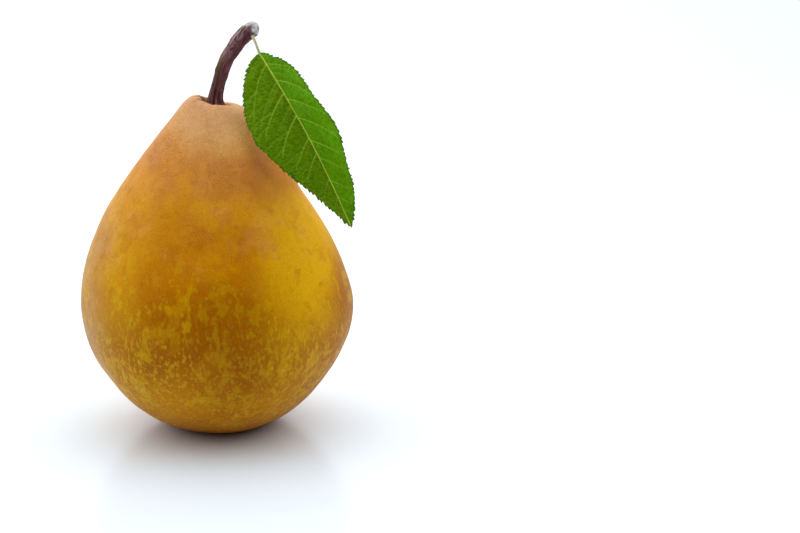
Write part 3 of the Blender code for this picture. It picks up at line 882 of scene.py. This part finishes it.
def build_leaf():
    # rows stand at even steps along the margins, which run almost straight out at the base
    fine = np.linspace(0, 1, 4001)
    runs = []
    for right in (False, True):
        steps = np.hypot(np.diff(fine) * LEAF_LENGTH, np.diff(half_width(fine, right)))
        runs.append(np.concatenate([[0], np.cumsum(steps)]))
    mean_run = (runs[0] + runs[1]) / 2
    rows = np.interp(np.linspace(0, mean_run[-1], LEAF_ROWS), mean_run, fine)
    share = np.linspace(-1, 1, LEAF_COLUMNS)
    along, v = np.meshgrid(rows, share, indexing="ij")
    right = v > 0
    width = half_width(along, right)
    slope = (half_width(along + 0.002, right) - half_width(along - 0.002, right)) / 0.004
    slope = np.clip(slope, -200, 200)
    long = np.hypot(LEAF_LENGTH, slope)
    ahead_x, ahead_y = LEAF_LENGTH / long, slope / long
    # teeth that lean to the tip, uneven in length
    edge_run = np.where(right, np.interp(along, fine, runs[1]), np.interp(along, fine, runs[0]))
    phase = edge_run / TOOTH_RUN + 0.20 * np.sin(edge_run * 1.7 + 2 * right) + 0.37 * right
    tooth, index = phase % 1.0, np.floor(phase)
    rise = fade(tooth, 0.0, 0.74) * fade(tooth, 1.0, 0.78)
    size = 0.70 + 0.60 * np.sin(index * 12.9898 + 4.1 * right) ** 2
    room = fade(edge_run, 1.0, 3.0) * fade(along, 1.0, 0.975)
    out = np.abs(v) ** 6
    uneven = 0.42 * noise(np.stack([edge_run * 0.30, right * 3.0, 0 * v], -1), 1.0, 51, 2)
    push = (TOOTH_DEPTH * (rise - 0.35) * size * out + uneven * np.abs(v) ** 3) * room
    lean = 0.34 * rise * size * room * out
    x = along * LEAF_LENGTH - ahead_y * push + ahead_x * lean
    y = np.abs(v) * width + ahead_x * push + ahead_y * lean
    y = np.where(right, y, -y)
    place = blade_place(x / LEAF_LENGTH, y)
    flat = np.stack([x, y, 0 * x], -1)

    far, size = near_lines(x, y, vein_lines())
    from_middle = np.abs(y)
    thin = 1 - 0.75 * along
    inner = 1 - np.abs(v) ** 10
    # cushions between the veins, and soft waves toward the margins
    wave = 0.55 * np.sin(along * 17 + 1.2 * right + 0.8) * np.abs(v) ** 2.2 * fade(along, 0.02, 0.2)
    wave = wave + 0.35 * noise(flat, 0.085, 53)
    wave = wave * fade(along, 0, 0.12)
    quilt = 0.30 * fade(far, 0.0, 1.6) * fade(from_middle, 0.1, 1.5) * inner
    rib_line = hump(far / (0.20 * size + 0.05)) * size
    middle_line = hump(from_middle / (0.30 * thin + 0.06))
    ladder = noise(flat, 0.75, 55)
    top = wave + quilt + 0.07 * ladder * inner + 0.06 * rib_line - 0.10 * middle_line * thin
    bottom = wave + quilt * 0.75 - 0.10 * rib_line - 0.42 * middle_line * thin
    half = LEAF_THICKNESS / 2 * (1 - 0.72 * np.abs(v) ** 12)
    normal = sheet_normals(place)
    face = leaf_to_world(place + normal * (top + half)[..., None])
    back = leaf_to_world(place + normal * (bottom - half)[..., None])
    verts, faces = close_sheet(face, back)
    leaf = new_object("leaf_sheet", verts * MM, faces, leaf_paint())

    def both(value):
        return np.concatenate([value, value])

    side = np.where(right, 1.0, -1.0)
    # along and across the side veins, so that the fine net runs from one to the next
    swing = np.radians(np.where(right, 48.0, 42.0)) * side
    step = x * np.cos(swing) + y * np.sin(swing)
    gap = -x * np.sin(swing) + y * np.cos(swing)
    net = np.stack([step * 1.25, gap * 0.55, side * 9.0], -1)
    rib = hump(far / (0.08 + 0.07 * size)) * np.clip(0.10 + size, 0, 1)
    for name, value in (
        ("leaf_rib", rib),
        ("leaf_midrib", hump(from_middle / (0.12 * thin + 0.11))),
        ("leaf_edge", fade(width - from_middle, 0.55, 0.05)),
        # the tips of the teeth, where pale glints are painted
        ("leaf_tooth_glint", fade(rise * out, 0.72, 0.98) * 0.7 * room),
    ):
        add_attribute(leaf, name, both(value.ravel()))
    add_attribute(leaf, "leaf_upper", np.repeat([1.0, 0.0], x.size))
    add_attribute(leaf, "leaf_flat", both(flat.reshape(-1, 3)))
    add_attribute(leaf, "leaf_ladder", both(net.reshape(-1, 3)))
    settle(leaf, "leaf_green", "leaf_blade")


def stalk_paint():
    """Cream, faintly ribbed, a little browner where it leaves the stem."""
    p = Paint("leaf_stalk", 0.5)
    way = p.attribute("stalk_way", "Vector")
    streak = p.noise(5.0, 3, 0.6, p.stretch(way, (1.0, 1.0, 0.18)))
    look = p.ramp(
        streak,
        ((0.34, colour(176, 160, 112)), (0.52, colour(214, 204, 164)), (0.68, colour(232, 226, 200))),
    )
    z = p.split(way)[2]
    look = p.mix(p.times(p.band(z, 0.9, 0.2), 0.55), look, colour(150, 122, 96))
    look = p.mix(p.times(p.band(z, 3.0, 4.4), 0.75), look, colour(176, 196, 96))
    p.set("Base Color", look)
    p.set("Specular IOR Level", 0.35)
    p.set("Normal", p.bump(streak, 0.00012, 0.7))
    return p.material


def build_stalk():
    """A slim, slightly flattened stalk from the stem's end to the foot of the midrib."""
    ahead = unit(STALK_END - STALK_START)
    foot, midrib = leaf_to_world(blade_place(np.array([0.0, 0.030]), np.zeros(2)))
    points = [
        (*(STALK_START + (-0.30, 0.45, 0.75)), 0.62),
        (*(STALK_START + 0.1 * ahead), 0.50),
        (*((STALK_START + STALK_END) / 2 + (0.08, 0.0, 0.0)), 0.38),
        (*STALK_END, 0.40),
        (*(foot + (0, -0.05, 0)), 0.42),
        (*(midrib + (0, 0.10, 0)), 0.10),
    ]
    rows, run = curve_through(points, STALK_ROWS)
    angle, out = spokes(*directions(rows[:, :3])[1:], STALK_SIDES)
    s = run[:, None] + 0 * angle
    way = np.stack([np.cos(angle) + 0 * s, np.sin(angle) + 0 * s, s], -1)
    lumps = 0.07 * np.cos(3 * angle + 0.9) + 0.10 * noise(way * (1, 1, 0.3), 1.6, 61, 2)
    radius = rows[:, 3][:, None] * (1 + lumps)
    grid = rows[:, None, :3] + out * radius[..., None]
    verts, faces = close_tube(grid[::-1])
    stalk = new_object("leaf_stalk_tube", verts * MM, faces, stalk_paint())
    add_attribute(stalk, "stalk_way", with_ends((way * (STALK_RADIUS, STALK_RADIUS, 1))[::-1]))
    settle(stalk, "leaf_stalk", "leaf_stalk")


# -------------------------------- calyx

EYE_LOW, EYE_HIGH = 3.6, 4.75  # mm
SEPAL_ROOT, SEPAL_LEVEL, SEPAL_LENGTH, SEPAL_WIDTH, SEPAL_THICKNESS = 2.7, 3.75, 3.4, 2.2, 0.4
SEPAL_SLOPE, SEPAL_CURL = math.radians(40), 0.5
SEPALS, SEPAL_ROWS, SEPAL_COLUMNS = 5, 56, 34
CUP_ROWS, CUP_SIDES = 60, 96
STAMENS, STAMEN_SIDES = 15, 10
GOLDEN_TURN = 2.39996  # in radians
# the cup: radius and height in mm, from its top, down the outside, to the middle of its hollow face
CUP_OUTLINE = (
    (0.02, EYE_HIGH),
    (1.2, EYE_HIGH),
    (1.95, EYE_HIGH - 0.06),
    (2.1, EYE_HIGH - 0.4),
    (2.25, EYE_LOW + 0.3),
    (2.2, EYE_LOW),
    (1.9, EYE_LOW + 0.02),
    (1.5, EYE_LOW + 0.3),
    (1.0, EYE_LOW + 0.45),
    (0.4, EYE_LOW + 0.35),
    (0.02, EYE_LOW + 0.30),
)


def calyx_paint():
    """Dry, dark brown, grey where it is weathered."""
    p = Paint("dried_calyx", 0.85)
    look = p.ramp(
        p.noise(900, 3, 0.65),
        ((0.34, colour(42, 28, 20)), (0.50, colour(82, 58, 40)), (0.66, colour(128, 104, 82))),
    )
    p.set("Base Color", look)
    p.set("Specular IOR Level", 0.2)
    p.set("Normal", p.bump(p.noise(2200, 3, 0.6), 0.0002, 0.8))
    return p.material


def merge_parts(parts):
    """Stacks (verts, faces) parts into one mesh."""
    verts, faces, start = [], [], 0
    for part_verts, part_faces in parts:
        verts.append(part_verts)
        faces += [tuple(i + start for i in face) for face in part_faces]
        start += len(part_verts)
    return np.vstack(verts), faces


def stamen(number):
    """One dried thread with a knob at its end, hanging in the cup."""
    turn = number * GOLDEN_TURN
    out = np.array([math.cos(turn), math.sin(turn), 0.0])
    lean = turn + 0.5 * math.sin(3.7 * number)
    foot = (0.35 + 1.25 * (number / STAMENS) ** 0.5) * out + (0, 0, EYE_LOW + 0.45)
    drop = -1.0 - 0.35 * math.sin(5.1 * number)
    tip = foot + (0.35 * math.cos(lean), 0.35 * math.sin(lean), drop)
    middle = (foot + tip) / 2 + 0.12 * out[[1, 0, 2]]
    points = [
        (*foot, 0.09),
        (*middle, 0.06),
        (*(0.9 * tip + 0.1 * middle), 0.06),
        (*tip, 0.11),
        (*(tip + (0, 0, -0.12)), 0.03),
    ]
    rows, _ = curve_through(points, 4 * len(points))
    out = spokes(*directions(rows[:, :3], (0.31, 0.83, 0.46))[1:], STAMEN_SIDES)[1]
    radius = rows[:, 3][:, None] * (1 + 0.2 * noise(rows[:, None, :3] + out, 2.0, number))
    return close_tube((rows[:, None, :3] + out * radius[..., None])[::-1])


def build_eye(look):
    outline = np.array(CUP_OUTLINE)
    rows, _ = curve_through(np.pad(outline, ((0, 0), (0, 1))), CUP_ROWS)
    angle = np.arange(CUP_SIDES) * 2 * math.pi / CUP_SIDES
    radius, height = rows[:, 0][:, None], rows[:, 1][:, None]
    grid = np.stack([radius * np.cos(angle), radius * np.sin(angle), height + 0 * angle], -1)
    lift = 0.12 * noise(grid, 1.3, 71, 3) * fade(radius, 0.1, 0.8)
    cup = close_tube(grid + tube_normals(grid) * lift[..., None])
    verts, faces = merge_parts([cup] + [stamen(number) for number in range(STAMENS)])
    eye = new_object("calyx_cup", verts * MM, faces, look)
    settle(eye, "dried_calyx", "calyx_eye")


def build_sepal(number, look):
    s, v = np.meshgrid(np.linspace(0, 1, SEPAL_ROWS), np.linspace(-1, 1, SEPAL_COLUMNS), indexing="ij")
    width = SEPAL_WIDTH / 2 * (1 - 0.8 * s**2) * (1 - 0.5 * fade(s, 0.9, 1.0))
    width = width * (1 + 0.10 * noise(np.stack([s * 6, np.sign(v), 0 * s + number], -1), 1.0, 81))
    curl = SEPAL_CURL * (s**2 + 0.5 * v**2) + 0.22 * s**6 * math.sin(2.3 * number)
    curl = curl + 0.10 * (np.cos(np.pi * v) - hump(v / 0.16)) * (1 - s)
    curl = curl - 0.07 * noise(np.stack([s * 5, v * 3, 0 * s + number * 7.0], -1), 1.0, 83, 2)
    side = v * width + 0.25 * s**2 * math.sin(1.9 * number + 0.5)
    place = np.stack([SEPAL_LENGTH * s, side, -curl], -1)
    half = SEPAL_THICKNESS / 2 * (1 - 0.65 * np.abs(v) ** 4) * (1 - 0.6 * s**3)
    half = sheet_normals(place) * half[..., None]
    sheet, faces = close_sheet(place + half, place - half)
    tilt = Matrix.Rotation(SEPAL_SLOPE, 3, "Y")
    spin = Matrix.Rotation(math.tau * number / SEPALS, 3, "Z")
    verts = (sheet @ np.array(tilt).T + (SEPAL_ROOT, 0, SEPAL_LEVEL)) @ np.array(spin).T
    verts[:, 2] = np.maximum(verts[:, 2], 0.05)
    sepal = new_object(f"sepal_leaf_{number + 1}", verts * MM, faces, look)
    settle(sepal, "dried_calyx", f"sepal_{number + 1}")


build_fruit()
build_stem()
build_stalk()
build_leaf()
dried = calyx_paint()
build_eye(dried)
for number in range(SEPALS):
    build_sepal(number, dried)

# -------------------------------- floor, light, camera

WALL_LIGHT, TOP_LIGHT, FRONT_SHARE, RIGHT_LOSS = 0.85, 2.15, 0.06, 0.90
WORLD_COLOUR, FLOOR_COLOUR = (0.955, 0.98, 1.0, 1), (0.78, 0.84, 0.90, 1)
FLOOR_REACH = 8.0
CAMERA_TARGET, CAMERA_DISTANCE = Vector((0.0534, 0.0, 0.0472)), 0.552
CAMERA_RISE, CAMERA_LENS = math.radians(15), 85  # lens in mm on a 36 mm sensor


def build_world():
    """A white tent: brightest overhead, white behind and beside, dark on the front side."""
    world = bpy.data.worlds.new("studio")
    world.use_nodes = True
    nodes = Nodes(world.node_tree)
    x, y, z = nodes.split(world.node_tree.nodes.new("ShaderNodeTexCoord").outputs["Generated"])
    overhead = nodes.band(z, 0.05, 0.60, WALL_LIGHT, TOP_LIGHT)
    front = nodes.band(y, -0.80, 0.00, FRONT_SHARE, 1.0)
    # the right side is dim near the table
    right = nodes.band(x, -0.05, 0.60, 0.0, RIGHT_LOSS)
    dim = nodes.times(right, nodes.band(z, 0.55, 0.20))
    strength = nodes.times(nodes.times(overhead, front), nodes.math("SUBTRACT", 1.0, dim))
    background = world.node_tree.nodes["Background"]
    background.inputs["Color"].default_value = WORLD_COLOUR
    nodes.feed(background.inputs["Strength"], strength)
    bpy.context.scene.world = world


def build_stage():
    paint = Paint("floor", 0.20)
    paint.set("Base Color", FLOOR_COLOUR)
    paint.set("Specular IOR Level", 0.25)
    corners = [(FLOOR_REACH * x, FLOOR_REACH * y, 0) for x, y in ((-1, -1), (1, -1), (1, 1), (-1, 1))]
    floor = new_object("floor", corners, [(0, 1, 2, 3)], paint.material)
    build_world()


def build_camera():
    data = bpy.data.cameras.new("camera")
    data.lens, data.sensor_width, data.clip_start = CAMERA_LENS, 36, 0.01
    camera = bpy.data.objects.new("camera", data)
    bpy.context.scene.collection.objects.link(camera)
    back = Vector((0, -math.cos(CAMERA_RISE), math.sin(CAMERA_RISE)))
    camera.location = CAMERA_TARGET + CAMERA_DISTANCE * back
    camera.rotation_euler = (CAMERA_TARGET - camera.location).to_track_quat("-Z", "Y").to_euler()
    bpy.context.scene.camera = camera


build_stage()
build_camera()
bpy.context.scene.view_settings.view_transform = "Standard"
